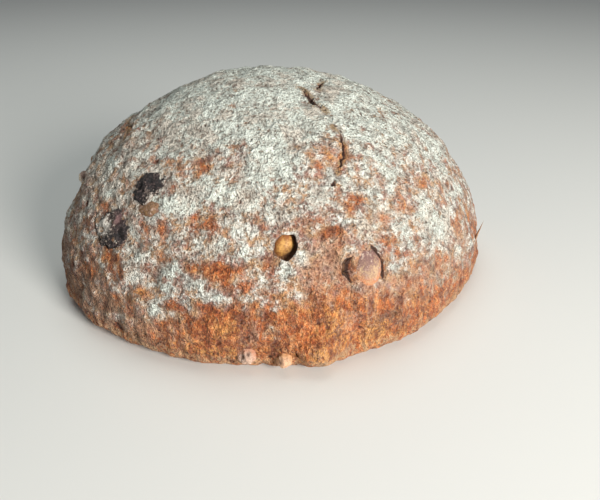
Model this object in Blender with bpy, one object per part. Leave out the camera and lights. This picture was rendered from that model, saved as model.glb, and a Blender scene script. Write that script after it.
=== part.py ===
"""A round nut bread: one floured, domed loaf with nuts and raisins baked into its crust.

Metres, +Z up. The loaf stands on its flat base, its front faces -Y, and the origin is the middle of its
bounding box at the base. A place on the crust is given in degrees: its bearing, round from the front
towards the right (+X), and its rise above the loaf's widest line.
"""

import math

import bmesh
import bpy
from mathutils import Matrix, Vector, noise

MM = 0.001

# The loaf's body
WIDTH = 206 * MM  # left to right, at the widest line
DEPTH = 192 * MM  # front to back, at the widest line
HEIGHT = 98 * MM
WIDEST = 6 * MM  # height of the widest line above the base
FOOT = 0.925  # radius of the flat base, as a share of the widest radius
DOME_POWER = 1.98  # 2 is an ellipse, and more is squarer
LEAN = -3.0 * MM  # how far the crown sits to the side of the base's middle, along X
LOBES = {2: (0.016, 0.018), 3: (0.008, 0.007), 4: (0.011, 0.015)}  # swings of the radius: cosine, sine

# Its mesh
GRID = 24  # squares along each side of the cube that is wrapped into the loaf
FOOT_SHARE = 0.12  # the share of each side wall's rows that turn in under the loaf

# Uneven dough: wavelength and height of each size of swell
SWELLS = ((62 * MM, 1.4 * MM), (24 * MM, 0.8 * MM), (11 * MM, 0.5 * MM))

# Rounded bumps and dents: bearing, rise, half width across and upwards, and height, which is negative
# for a dent
BUMPS = {
    "lobe_at_the_base": (9.3, 3, 8.5 * MM, 9 * MM, 3.4 * MM),
    "nip_right_of_the_lobe": (20, 4, 6 * MM, 9 * MM, -1.9 * MM),
    "nip_left_of_the_lobe": (-5, 0, 13 * MM, 7 * MM, -3.6 * MM),
    "swell_over_the_front_nut": (24.5, 24, 11 * MM, 12 * MM, 2.0 * MM),
    "fold_left_of_the_front_nut": (17.5, 21, 3 * MM, 8 * MM, 0.9 * MM),
    "lump_low_on_the_left": (-34.5, 12.7, 5 * MM, 6 * MM, 1.8 * MM),
    "ridge_above_the_raisins": (-56, 44, 12 * MM, 6 * MM, 1.2 * MM),
    "flat_on_the_left": (-84, 25, 19 * MM, 11 * MM, -3.0 * MM),
    "lump_on_the_crown": (-85, 75, 5 * MM, 4 * MM, 1.6 * MM),
    "shoulder_behind_the_crown": (125, 78, 7 * MM, 6 * MM, 0.9 * MM),
    "dip_behind_the_crown": (150, 80, 4 * MM, 6 * MM, -1.4 * MM),
    "flat_behind_on_the_right": (100, 55, 22 * MM, 18 * MM, -1.5 * MM),
    "dent_low_on_the_right": (30.5, 13, 2.5 * MM, 2.5 * MM, -0.9 * MM),
    "streak_low_on_the_right": (29.4, 7.3, 5 * MM, 2 * MM, -0.7 * MM),
    "swell_at_the_back": (170, 35, 13 * MM, 11 * MM, 1.8 * MM),
    "swell_on_the_right": (112, 22, 12 * MM, 10 * MM, 1.2 * MM),
}

# What is baked into the crust, in mm: at is its bearing and rise, half its half sizes across, upwards and
# inwards, sunk how far its middle lies under the crust, turn its turn in the pocket, tip how much it slims
# upwards, mouth the half sizes of the pocket's opening, and shift how far the opening lies off the middle
GAP = 0.35 * MM  # between a piece and its pocket
PIECES = {
    "hazelnut_front": dict(
        at=(2.7, 28.8), half=(5.9, 6.6, 6.2), sunk=6.8, turn=-25, tip=0.12, kind="nut",
        mouth=(4.8, 5.7), shift=(1.2, -0.4),
    ),
    "nut_front_right": dict(
        at=(24.8, 22.2), half=(5.9, 7.8, 6.0), sunk=3.6, turn=5, tip=0.3, kind="nut",
        mouth=(6.6, 8.2), shift=(0.5, -0.2),
    ),
    "raisin_upper_left": dict(
        at=(-41.2, 38.4), half=(5.1, 6.7, 4.2), sunk=3.2, turn=-24, tip=0, kind="raisin",
        mouth=(5.3, 6.9), shift=(0, 0),
    ),
    "nut_upper_left": dict(
        at=(-37.6, 33.0), half=(4.4, 2.5, 3.4), sunk=2.9, turn=12, tip=0, kind="nut",
        mouth=(4.4, 2.5), shift=(0, 0),
    ),
    "raisin_lower_left": dict(
        at=(-48.9, 25.7), half=(8.8, 8.0, 4.6), sunk=3.3, turn=28, tip=0, kind="raisin",
        mouth=(9.3, 8.4), shift=(0.2, -0.3),
    ),
    "nut_left_side": dict(
        at=(-75.5, 30.4), half=(2.9, 2.6, 3.6), sunk=1.0, turn=0, tip=0, kind="nut",
        mouth=(2.7, 2.4), shift=(0, 0),
    ),
    "nut_base_left": dict(
        at=(-7.6, 0.3), half=(3.8, 3.6, 4.6), sunk=-0.6, turn=0, tip=0, kind="nut",
        mouth=(3.4, 3.2), shift=(0, 0),
    ),
    "nut_base_middle": dict(
        at=(2.2, 0.3), half=(3.0, 3.4, 4.6), sunk=-0.6, turn=20, tip=0.2, kind="nut",
        mouth=(2.8, 3.0), shift=(0, 0),
    ),
    "hazelnut_right": dict(
        at=(98.0, 33.0), half=(6.0, 6.4, 6.1), sunk=5.8, turn=30, tip=0.12, kind="nut",
        mouth=(4.9, 5.4), shift=(-0.8, 0.6),
    ),
    "raisin_back_left": dict(
        at=(-128.0, 44.0), half=(5.2, 6.6, 4.2), sunk=3.2, turn=35, tip=0, kind="raisin",
        mouth=(5.4, 6.8), shift=(0, 0),
    ),
    "nut_back": dict(
        at=(171.0, 27.0), half=(5.8, 7.8, 6.0), sunk=3.8, turn=-15, tip=0.3, kind="nut",
        mouth=(6.3, 8.0), shift=(-0.5, 0),
    ),
    "raisin_back_right": dict(
        at=(148.0, 56.0), half=(4.4, 5.6, 3.8), sunk=2.9, turn=-40, tip=0, kind="raisin",
        mouth=(4.6, 5.8), shift=(0, 0),
    ),
}
FINE, COARSE = 3, 2  # subdivisions of the icosphere of a large piece, and of a small piece or a mouth
LARGE = 5.5  # half height above which a piece is large
MOUTH_DEPTH = 3.2 * MM
RAISIN_WRINKLE = 0.16  # depth of its folds, as a share of its size
NUT_DIMPLE = 0.05

# Splits in the crust: the places they run through, the width in the middle, and the depth
CRACKS = {
    "crown": (((24, 77), (33, 73.5), (28, 70), (33, 66.5), (34, 64)), 2.4 * MM, 3.0 * MM),
    "right_shoulder": (((33, 57.5), (31, 54), (30, 51), (27, 48.5), (24, 45.5)), 1.6 * MM, 2.4 * MM),
    "beside_the_front_nut": (((26.3, 27.5), (27.4, 24.5), (28.2, 21), (28.3, 17.2)), 1.7 * MM, 4.2 * MM),
    "left_shoulder": (((-84, 49), (-77, 47.5), (-71, 48.5), (-66, 46)), 1.5 * MM, 2.2 * MM),
    "back_shoulder": (((196, 60), (186, 57), (178, 58), (168, 54)), 1.8 * MM, 2.6 * MM),
    "back_left": (((-112, 30), (-106, 26), (-103, 21)), 1.4 * MM, 2.2 * MM),
}
CRACK_STEPS = 3  # stretches between two named places
CRACK_LIFT = 1.5 * MM  # how far a cutter stands out of the crust
CRACK_WANDER = 0.8  # degrees that a split strays from side to side

# The torn sliver of crust that stands off the right side
SLIVER_AT = (80, 5)
SLIVER_LENGTH = 13 * MM
SLIVER_STANDS = 4.5 * MM  # how far its tip stands off the crust
SLIVER_ROOT = 1.2 * MM  # how deep it starts in the crust
SLIVER_HALF = (1.6 * MM, 0.7 * MM)
SLIVER_STEPS = 6

FINISHES = {
    "crust": ((0.52, 0.36, 0.26, 1), 0.9),
    "nut": ((0.66, 0.38, 0.15, 1), 0.55),
    "raisin": ((0.025, 0.018, 0.018, 1), 0.6),
}


def clear_scene():
    for obj in list(bpy.data.objects):
        bpy.data.objects.remove(obj)


def material(kind):
    found = bpy.data.materials.get(kind)
    if found:
        return found
    made = bpy.data.materials.new(kind)
    made.use_nodes = True
    shader = made.node_tree.nodes["Principled BSDF"]
    colour, roughness = FINISHES[kind]
    shader.inputs["Base Color"].default_value = colour
    shader.inputs["Roughness"].default_value = roughness
    shader.inputs["Metallic"].default_value = 0
    made.diffuse_color = colour
    return made


def object_from(name, bm, kind, collection=None):
    mesh = bpy.data.meshes.new(name)
    bmesh.ops.recalc_face_normals(bm, faces=bm.faces)
    bm.to_mesh(mesh)
    bm.free()
    mesh.materials.append(material(kind))
    mesh.shade_smooth()
    obj = bpy.data.objects.new(name, mesh)
    (collection or bpy.context.scene.collection).objects.link(obj)
    return obj


def heading(bearing):
    """The level direction at a bearing in radians: 0 is the front, and it turns towards the right."""
    return Vector((math.sin(bearing), -math.cos(bearing), 0))


def widest_radius(bearing):
    """The loaf's radius at its widest line, which is an ellipse with a few slow swings."""
    level = heading(bearing)
    ellipse = 1 / math.hypot(level.x / (WIDTH / 2), level.y / (DEPTH / 2))
    turn = math.atan2(level.y, level.x)
    swing = sum(c * math.cos(k * turn) + s * math.sin(k * turn) for k, (c, s) in LOBES.items())
    return ellipse * (1 + swing)


def bare_dome(bearing, rise):
    """A point of the dome before its relief: rise is 0 at the widest line, and 90 degrees at the crown."""
    radius, crown = widest_radius(bearing), HEIGHT - WIDEST
    across, up = math.cos(rise) / radius, math.sin(rise) / crown
    reach = (across**DOME_POWER + max(up, 0) ** DOME_POWER) ** (-1 / DOME_POWER)
    height = reach * math.sin(rise)
    point = heading(bearing) * reach * math.cos(rise)
    return point + Vector((LEAN * height / crown, 0, WIDEST + height))


def bare_foot(bearing, share):
    """A point between the widest line, at share 0, and the edge of the base, at share 1."""
    turn = share * math.pi / 2
    radius = widest_radius(bearing) * (FOOT + (1 - FOOT) * math.cos(turn))
    return heading(bearing) * radius + Vector((0, 0, WIDEST * (1 - math.sin(turn))))


def outward(point):
    """The direction in which the dome faces at a point."""
    crown = HEIGHT - WIDEST
    above = max(point.z - WIDEST, 0)
    lean = LEAN * above / crown
    slope = Vector(((point.x - lean) / (WIDTH / 2) ** 2, point.y / (DEPTH / 2) ** 2, above / crown**2))
    return slope.normalized()


def axes_at(point):
    """The directions across, upwards and out of the crust at a point."""
    out = outward(point)
    across = Vector((0, 0, 1)).cross(out).normalized()
    return across, out.cross(across), out


def bump_spots():
    """Each bump as its middle, its own axes and its sizes."""
    spots = []
    for bearing, rise, across, along, height in BUMPS.values():
        middle = bare_dome(math.radians(bearing), math.radians(rise))
        spots.append((middle, axes_at(middle), across, along, height))
    return spots


SPOTS = bump_spots()


def relief(point):
    """How far the crust stands out of the bare loaf at a point."""
    height = sum(noise.noise(point / wave) * depth for wave, depth in SWELLS)
    for middle, (across, up, _), half_across, half_up, tall in SPOTS:
        offset = point - middle
        square = (offset.dot(across) / half_across) ** 2 + (offset.dot(up) / half_up) ** 2
        if offset.length < 3 * max(half_across, half_up):
            height += tall * math.exp(-square)
    return height


def crust(bearing, rise):
    """A point of the finished crust, from its bearing and rise in degrees."""
    point = bare_dome(math.radians(bearing), math.radians(rise))
    return point + outward(point) * relief(point)


def wrapped(corner):
    """Where a point of the cube from -1 to 1 comes to lie on the loaf."""
    x, y, z = corner
    quarter = math.pi / 4
    across, along = math.tan(x * quarter), math.tan(y * quarter)
    bearing = math.atan2(across, -along)
    top_rise = math.atan2(1, math.hypot(across, along))
    if z > 1 - 1e-6:
        return crust(math.degrees(bearing), math.degrees(top_rise))
    share = (1 - z) / 2 / (1 - FOOT_SHARE)
    if share < 1:
        return crust(math.degrees(bearing), math.degrees(top_rise * (1 - share)))
    foot = bare_foot(bearing, min((share - 1) * (1 - FOOT_SHARE) / FOOT_SHARE, 1))
    foot += outward(foot) * relief(foot)
    reach = math.tan(max(abs(x), abs(y)) * quarter)
    return Vector((foot.x * reach, foot.y * reach, foot.z))


def loaf_body():
    """The loaf's closed skin: a cube's grid, wrapped over the dome, the foot and the flat base."""
    bm = bmesh.new()
    bmesh.ops.create_cube(bm, size=2)
    bmesh.ops.subdivide_edges(bm, edges=bm.edges, cuts=GRID - 1, use_grid_fill=True)
    for vert in bm.verts:
        vert.co = wrapped(vert.co)
    return object_from("loaf", bm, "crust")


def piece_turned(name, spec):
    """The matrix that sets a piece in the crust, with its own axes turned in the crust's plane."""
    point = crust(*spec["at"])
    across, up, out = axes_at(point)
    turn = Matrix.Rotation(math.radians(spec["turn"]), 4, out)
    basis = Matrix((across, up, out)).transposed().to_4x4()
    return Matrix.Translation(point - out * spec["sunk"] * MM) @ turn @ basis


def wrinkled(direction, kind, seed):
    """The share of its half size that a piece reaches in a direction: a raisin is folded, a nut smooth."""
    place = direction + Vector((seed * 7.3, 0, 0))
    if kind == "raisin":
        return 1 - RAISIN_WRINKLE * abs(noise.noise(place * 2.6)) * 2
    return 1 - NUT_DIMPLE * (noise.noise(place * 1.3) + 1) / 2


def unit_ball(detail):
    bm = bmesh.new()
    bmesh.ops.create_icosphere(bm, subdivisions=detail, radius=1)
    return bm


def piece_mesh(spec, seed, grown=0.0):
    """A nut or a raisin about its own middle, or its pocket where it is grown."""
    bm = unit_ball(FINE if spec["half"][1] > LARGE else COARSE)
    for vert in bm.verts:
        shape = 1 if grown else wrinkled(vert.co, spec["kind"], seed)
        slim = 1 - spec["tip"] * max(vert.co.y, 0)
        size = Vector([half * MM * shape + grown for half in spec["half"]])
        vert.co = Vector((vert.co.x * size.x * slim, vert.co.y * size.y, vert.co.z * size.z * slim))
    return bm


def mouth_mesh(spec):
    """The rounded opening of a pocket, centred on the crust's surface."""
    bm = unit_ball(COARSE)
    half = (spec["mouth"][0] * MM, spec["mouth"][1] * MM, MOUTH_DEPTH)
    shift = Vector((spec["shift"][0] * MM, spec["shift"][1] * MM, spec["sunk"] * MM))
    for vert in bm.verts:
        vert.co = Vector([axis * size for axis, size in zip(vert.co, half)]) + shift
    return bm


def baked_in_pieces(hollows):
    """Every nut and raisin as its own object, and the pockets that hold them as cutters."""
    for seed, (name, spec) in enumerate(PIECES.items()):
        place = piece_turned(name, spec)
        obj = object_from(name, piece_mesh(spec, seed), spec["kind"])
        obj.matrix_world = place
        pocket = object_from(name + "_pocket", piece_mesh(spec, seed, GAP), "crust", hollows)
        pocket.matrix_world = place
        mouth = object_from(name + "_mouth", mouth_mesh(spec), "crust", hollows)
        mouth.matrix_world = place


def crack_cutter(name, places, width, depth, hollows):
    """A wedge that follows a split along the crust, widest in its middle and thin at both ends."""
    stretches = (len(places) - 1) * CRACK_STEPS
    bm = bmesh.new()
    rings = []
    for step in range(stretches + 1):
        first, share = divmod(step / CRACK_STEPS, 1)
        start = places[int(first)]
        end = places[min(int(first) + 1, len(places) - 1)]
        bearing, rise = (a + (b - a) * share for a, b in zip(start, end))
        stray = noise.noise(Vector((step * 0.9, width / MM, rise))) * CRACK_WANDER
        point = crust(bearing + stray, rise)
        ahead = crust(end[0] + 0.01, end[1]) - crust(*start)
        out = outward(point)
        side = ahead.cross(out).normalized()
        swell = 0.15 + 0.85 * math.sin(math.pi * step / stretches) ** 0.7
        lip = side * width / 2 * swell
        top = point + out * CRACK_LIFT
        rings.append([bm.verts.new(p) for p in (top - lip, top + lip, point - out * depth * swell)])
    for ring, following in zip(rings, rings[1:]):
        for k in range(3):
            bm.faces.new((ring[k], ring[(k + 1) % 3], following[(k + 1) % 3], following[k]))
    bm.faces.new(rings[0][::-1])
    bm.faces.new(rings[-1])
    return object_from(name, bm, "crust", hollows)


def sliver(raised):
    """A thin, pointed flake that curves up and away from the crust."""
    root = crust(*SLIVER_AT)
    across, up, out = axes_at(root)
    bm = bmesh.new()
    rings = []
    for step in range(SLIVER_STEPS):
        share = step / SLIVER_STEPS
        stands = SLIVER_STANDS * share - SLIVER_ROOT * (1 - share)
        middle = root + up * SLIVER_LENGTH * share + out * stands
        wide, thick = (half * (1 - share) for half in SLIVER_HALF)
        corners = ((-wide, 0), (0, -thick), (wide, 0), (0, thick))
        rings.append([bm.verts.new(middle + across * a + out * b) for a, b in corners])
    tip = bm.verts.new(root + up * SLIVER_LENGTH + out * SLIVER_STANDS)
    for ring, following in zip(rings, rings[1:]):
        for k in range(4):
            bm.faces.new((ring[k], ring[(k + 1) % 4], following[(k + 1) % 4], following[k]))
    for k in range(4):
        bm.faces.new((rings[-1][k], rings[-1][(k + 1) % 4], tip))
    bm.faces.new(rings[0][::-1])
    return object_from("sliver", bm, "crust", raised)


def combine(loaf, tools, operation):
    """Adds or cuts every object of a collection in one Boolean, applies it and removes the collection."""
    change = loaf.modifiers.new(operation.lower(), "BOOLEAN")
    change.operation = operation
    change.solver = "EXACT"
    change.operand_type = "COLLECTION"
    change.collection = tools
    bpy.context.view_layer.update()
    graph = bpy.context.evaluated_depsgraph_get()
    finished = bpy.data.meshes.new_from_object(loaf.evaluated_get(graph))
    loaf.modifiers.remove(change)
    loaf.data = finished
    for obj in list(tools.objects):
        bpy.data.objects.remove(obj)
    bpy.data.collections.remove(tools)


def tool_collection(name):
    made = bpy.data.collections.new(name)
    bpy.context.scene.collection.children.link(made)
    return made


def centre_on_base():
    """Moves everything so that the origin is the middle of the whole at its base."""
    bpy.context.view_layer.update()
    corners = [obj.matrix_world @ vert.co for obj in bpy.data.objects for vert in obj.data.vertices]
    middle = [(min(c[k] for c in corners) + max(c[k] for c in corners)) / 2 for k in range(2)]
    move = Matrix.Translation((-middle[0], -middle[1], 0))
    for obj in bpy.data.objects:
        obj.matrix_world = move @ obj.matrix_world


def main():
    clear_scene()
    raised, hollows = tool_collection("raised"), tool_collection("hollows")
    loaf = loaf_body()
    baked_in_pieces(hollows)
    for name, (places, width, depth) in CRACKS.items():
        crack_cutter(name, places, width, depth, hollows)
    sliver(raised)
    combine(loaf, raised, "UNION")
    combine(loaf, hollows, "DIFFERENCE")
    centre_on_base()


main()
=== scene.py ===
import math

import bmesh
import bpy
import numpy as np
from mathutils import Matrix, Vector, noise


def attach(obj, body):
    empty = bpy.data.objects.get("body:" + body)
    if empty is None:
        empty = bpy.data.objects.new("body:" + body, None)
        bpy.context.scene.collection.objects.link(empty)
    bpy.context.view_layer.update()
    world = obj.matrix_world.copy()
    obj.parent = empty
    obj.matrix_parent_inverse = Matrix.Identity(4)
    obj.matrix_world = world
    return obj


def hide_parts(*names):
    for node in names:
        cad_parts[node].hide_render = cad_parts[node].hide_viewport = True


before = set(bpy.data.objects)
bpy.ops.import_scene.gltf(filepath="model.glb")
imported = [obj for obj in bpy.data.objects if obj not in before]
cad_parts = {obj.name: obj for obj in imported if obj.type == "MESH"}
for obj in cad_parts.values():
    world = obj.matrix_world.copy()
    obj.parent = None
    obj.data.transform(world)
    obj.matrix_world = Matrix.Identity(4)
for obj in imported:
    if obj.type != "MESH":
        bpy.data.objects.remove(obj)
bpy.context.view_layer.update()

mm = 0.001

# Sizes are in mm and angles in degrees. A place on the crust is its bearing, round from the front towards
# the right, and its rise above the loaf's widest line.

loaf = {
    "width": 206,
    "depth": 192,
    "height": 98,
    "widest": 6,  # height of the widest line
    "foot": 0.925,  # radius of the base, as a share of the widest radius
    "domePower": 1.98,  # 2 is an ellipse, and more is squarer
    "lean": -3,  # how far the crown sits to the side
    "lobes": {2: (0.016, 0.018), 3: (0.008, 0.007), 4: (0.011, 0.015)},  # swings of the radius: cosine, sine
    "swells": ((62, 1.4), (24, 0.8), (11, 0.5)),  # size and height
    "middle": (-0.26, 2.22),  # where the widest line's centre lies in the frame
    "across": 150,  # squares along each edge of the crown's grid
    "down": 86,  # rows from the crown's grid to the widest line
    "footRows": 7,  # rows from the widest line down to the base
    "underside": 0.4,  # below this height the crust has the underside's plain colour
    "baseRings": (0.985, 0.93, 0.75, 0.45, 0.15),  # shares of the base's own outline
}

# Rounded bumps and dents: bearing, rise, half width across and upwards, height
bumps = {
    "lobeAtTheBase": (9.8, 2, 7.5, 8, 4.4),
    "nipRightOfTheLobe": (20, 2, 7, 8, -3.4),
    "flatRightOfTheLobe": (28, 1, 9, 8, -2.4),
    "nipLeftOfTheLobe": (3.8, 0, 3, 4, -2.6),
    "flatLeftOfTheLobe": (-6, 0, 12, 7, -3.6),
    "lipUnderTheHazelnut": (2.6, 24.6, 3.6, 0.9, 0.9),
    "lumpAboveTheLowCrust": (-19.7, 19.9, 2.6, 2.4, 1.2),
    "lumpLeftOfTheCrack": (19, 51, 9, 6, 1.2),
    "rollUnderTheRaisins": (-40, 17, 4, 9, 1.2),
    "dipUnderTheRaisins": (-31, 18, 3, 6, -1.0),
    "swellOverTheFrontNut": (24.5, 24, 11, 12, 2.0),
    "foldLeftOfTheFrontNut": (17.5, 21, 3, 8, 0.9),
    "lumpLowOnTheLeft": (-34.5, 12.7, 5, 6, 1.8),
    "ridgeAboveTheRaisins": (-56, 44, 12, 6, 1.2),
    "flatOnTheLeft": (-84, 25, 19, 11, -3.0),
    "lumpOnTheCrown": (-85, 75, 5, 4, 1.6),
    "shoulderBehindTheCrown": (125, 78, 7, 6, 0.9),
    "dipBehindTheCrown": (150, 80, 4, 6, -1.4),
    "flatBehindOnTheRight": (100, 55, 22, 18, -1.5),
    "dentLowOnTheRight": (30.5, 13, 2.5, 2.5, -0.9),
    "streakLowOnTheRight": (28.9, 7.4, 4, 1.8, -1.1),
    "secondStreakOnTheRight": (33, 4.5, 4, 1.6, -0.9),
    "swellAtTheBack": (170, 35, 13, 11, 1.8),
    "swellOnTheRight": (112, 22, 12, 10, 1.2),
}


def heading(bearing):
    return np.stack([np.sin(bearing), -np.cos(bearing), np.zeros_like(bearing)], -1)


def widestRadius(bearing):
    x, y = np.sin(bearing), -np.cos(bearing)
    ellipse = 1 / np.hypot(x / (loaf["width"] / 2), y / (loaf["depth"] / 2))
    turn = np.arctan2(y, x)
    swing = sum(c * np.cos(k * turn) + s * np.sin(k * turn) for k, (c, s) in loaf["lobes"].items())
    return ellipse * (1 + swing)


def dome(bearing, rise):
    radius, crown = widestRadius(bearing), loaf["height"] - loaf["widest"]
    across, up = np.cos(rise) / radius, np.maximum(np.sin(rise), 0) / crown
    reach = (across ** loaf["domePower"] + up ** loaf["domePower"]) ** (-1 / loaf["domePower"])
    height = reach * np.sin(rise)
    point = heading(bearing) * (reach * np.cos(rise))[:, None]
    point[:, 0] += loaf["lean"] * height / crown
    point[:, 2] = loaf["widest"] + height
    return point


def foot(bearing, share):
    turn = share * math.pi / 2
    radius = widestRadius(bearing) * (loaf["foot"] + (1 - loaf["foot"]) * np.cos(turn))
    point = heading(bearing) * radius[:, None]
    point[:, 2] = loaf["widest"] * (1 - np.sin(turn))
    return point


def outward(points):
    crown = loaf["height"] - loaf["widest"]
    above = np.maximum(points[:, 2] - loaf["widest"], 0)
    x = (points[:, 0] - loaf["lean"] * above / crown) / (loaf["width"] / 2) ** 2
    slope = np.stack([x, points[:, 1] / (loaf["depth"] / 2) ** 2, above / crown**2], -1)
    return slope / np.linalg.norm(slope, axis=1, keepdims=True)


def axesAt(point):
    out = Vector(outward(np.array([point]))[0])
    across = Vector((0, 0, 1)).cross(out).normalized()
    return across, out.cross(across), out


def grain(points, size, octaves=1, seed=0):
    # Perlin noise with lumps of the given size, from about -1 to 1
    spots = (points / size + seed * 17.3).tolist()
    if octaves == 1:
        return np.array([noise.noise(spot) for spot in spots])
    return np.array([noise.fractal(spot, 0.8, 2.1, octaves) for spot in spots])


def patch(points, bearing, rise, halfAcross, halfUp, turn=0):
    # 1 in the middle of a patch on the crust, falling to 0 around it
    middle = dome(np.radians([bearing]), np.radians([rise]))[0]
    across, up, _ = (np.array(axis) for axis in axesAt(middle))
    offset = points - middle
    x, y = offset @ across, offset @ up
    c, s = math.cos(math.radians(turn)), math.sin(math.radians(turn))
    square = ((x * c + y * s) / halfAcross) ** 2 + ((y * c - x * s) / halfUp) ** 2
    near = np.linalg.norm(offset, axis=1) < 3 * max(halfAcross, halfUp)
    return np.where(near, np.exp(-square), 0)


def relief(points):
    height = sum(grain(points, size) * depth for size, depth in loaf["swells"])
    for bearing, rise, halfAcross, halfUp, tall in bumps.values():
        height += tall * patch(points, bearing, rise, halfAcross, halfUp)
    return height


def crustPoint(bearing, rise):
    point = dome(np.radians([bearing]), np.radians([rise]))
    return Vector((point + outward(point) * relief(point)[:, None])[0])


# at: bearing and rise of the piece's middle; hole: half sizes across and upwards, and depth, where it lies
# in a hollow; turn: its turn; half: its half sizes across, upwards and inwards; shift: how far it sits from
# the middle; sunk: how far its middle lies under the crust; tip: how much it slims upwards; pits: across,
# up, size and depth, as shares of the piece's own size
bakedIn = {
    "hazelnut_front": dict(
        kind="hazelnut", at=(3.4, 28.3), hole=(4.3, 5.4, 3.9), turn=-24, half=(4.9, 5.9, 5.8),
        shift=(-1.2, 1.2), sunk=6.7, tip=0.1,
    ),
    "nut_front_right": dict(
        kind="coatedNut", at=(23.9, 21.7), turn=6, half=(7.0, 9.7, 5.4), shift=(0, 0), sunk=3.2, tip=0.42,
    ),
    "raisin_upper_left": dict(
        kind="raisin", at=(-40.0, 37.8), turn=-14, half=(8.6, 9.8, 4.7), shift=(0, 0), sunk=2.3, tip=0,
    ),
    "nut_upper_left": dict(
        kind="brownNut", at=(-36.8, 33.4), turn=10, half=(7.2, 4.3, 4.0), shift=(0, 0), sunk=2.5, tip=0,
    ),
    "raisin_lower_left": dict(
        kind="flouredRaisin", at=(-47.4, 25.4), turn=24, half=(11.6, 10.2, 5.6), shift=(0, 0),
        sunk=3.1, tip=0,
    ),
    "nut_left_side": dict(
        kind="sideNut", at=(-75.0, 29.8), turn=0, half=(4.6, 3.3, 3.9), shift=(0, 0), sunk=1.1, tip=0,
        pits=((0.8, 0.05, 0.42, 0.3),),
    ),
    "nut_base_left": dict(
        kind="baseNut", at=(-7.8, 1.0), turn=0, half=(3.9, 4.0, 4.2), shift=(0, 0), sunk=0.4, tip=0,
        pits=((-0.45, 0.3, 0.26, 0.35), (0.25, 0.6, 0.2, 0.3)),
    ),
    "nut_base_middle": dict(
        kind="peachNut", at=(1.2, 0.4), turn=20, half=(3.4, 3.3, 4.6), shift=(0, 0), sunk=1.0, tip=0.2,
        pits=((-0.5, 0.3, 0.22, 0.2),),
    ),
    "hazelnut_right": dict(
        kind="hazelnut", at=(98.0, 33.0), hole=(4.8, 5.4, 3.9), turn=30, half=(5.4, 6.4, 6.1),
        shift=(1.6, -0.8), sunk=6.2, tip=0.12,
    ),
    "raisin_back_left": dict(
        kind="raisin", at=(-128.0, 44.0), turn=35, half=(7.2, 9.0, 4.4), shift=(0, 0), sunk=2.3, tip=0,
    ),
    "nut_back": dict(
        kind="coatedNut", at=(171.0, 27.0), turn=-15, half=(6.9, 9.4, 5.2), shift=(0, 0), sunk=3.1, tip=0.4,
    ),
    "raisin_back_right": dict(
        kind="raisin", at=(148.0, 56.0), turn=-40, half=(6.4, 8.0, 4.2), shift=(0, 0), sunk=2.2, tip=0,
    ),
}
pocket = {
    "rimLumps": 4.5,
    "ragged": 0.2,  # how far the lumps push the rim in and out, as a share of its size
    "detail": 5,
    "stretch": (6, 6, 1),  # how much faster the lumps change round the rim than up the walls
    "squared": 1.3,  # above 1 the walls straighten and the floor flattens
    "above": 3,  # how far the cutter stands out of the crust
}


# The crust's own roughness: lump size and height in mm. Rougher and crumbly places have a bearing, a rise,
# half sizes across and upwards, and a strength.
roughness = {
    "lumps": (9, 0.8),
    "rougher": (
        (-62, 24, 42, 34, 0.8), (0, 4, 70, 12, 0.3), (30, 20, 30, 20, 0.3), (-150, 30, 50, 40, 0.5),
    ),
    "crumbs": (3.0, 0.5),
    "wrinkles": (5.5, 13, 0.7),  # size round the loaf, size upwards, height
    "wrinklesGirth": 100,  # radius that their size round the loaf is measured at
    "wrinklesEnd": (24, 16),  # the rise above which there are none, and the degrees over which they grow
    "crumblyGrain": (3.6, 1.6),  # size and height of the grain in the crumbly places
    "crumbly": (
        (-2.5, 1.0, 12, 3.5, 1.0), (-21, 1.5, 14, 3, 0.5), (-45, 1.5, 16, 3, 0.5), (30, 1, 12, 3, 0.4),
    ),
    "pits": 140,
    "pitSize": (0.7, 1.6),
    "pitStretch": (0.7, 1.4),
    "pitDepth": (0.3, 1.0),
    "lip": (0.4, 3),  # how far the crust swells round each piece, and how wide the swell is
    "calm": 0.8,  # how much of the roughness is gone over a piece that lies in the crust
    "calmShare": 0.8,  # the middle share of a piece over which it is gone
}


def fineRelief(points, bearing, rise):
    rougher = 1 + sum(more * patch(points, *place) for *place, more in roughness["rougher"])
    height = grain(points, roughness["lumps"][0], 3, 1) * roughness["lumps"][1] * rougher
    height += grain(points, roughness["crumbs"][0], 2, 2) * roughness["crumbs"][1] * rougher
    around, upwards, tall = roughness["wrinkles"]
    turned = bearing * roughness["wrinklesGirth"] / around
    arc = np.stack([turned, points[:, 2] / upwards, np.zeros_like(bearing)], -1)
    end, fade = roughness["wrinklesEnd"]
    height += grain(arc, 1, 2, 3) * tall * np.clip((end - np.degrees(rise)) / fade, 0, 1)
    size, depth = roughness["crumblyGrain"]
    for *place, strength in roughness["crumbly"]:
        height += grain(points, size, 2, 6) * depth * strength * patch(points, *place)
    rng = np.random.default_rng(5)
    for _ in range(roughness["pits"]):
        place = rng.uniform(-180, 180), math.degrees(math.asin(rng.uniform(0.02, 0.98)))
        wide = rng.uniform(*roughness["pitSize"])
        deep = rng.uniform(*roughness["pitDepth"])
        long = wide * rng.uniform(*roughness["pitStretch"])
        height -= deep * patch(points, *place, wide, long, rng.uniform(0, 180))
    lip, reach = roughness["lip"]
    share = roughness["calmShare"]
    for spec in bakedIn.values():
        wide, tall = spec["half"][:2]
        outer = patch(points, *spec["at"], wide + reach, tall + reach, spec["turn"])
        inner = patch(points, *spec["at"], wide * share, tall * share, spec["turn"])
        if "hole" not in spec:
            height *= 1 - roughness["calm"] * inner
        height += lip * (outer - inner)
    return height


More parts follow.
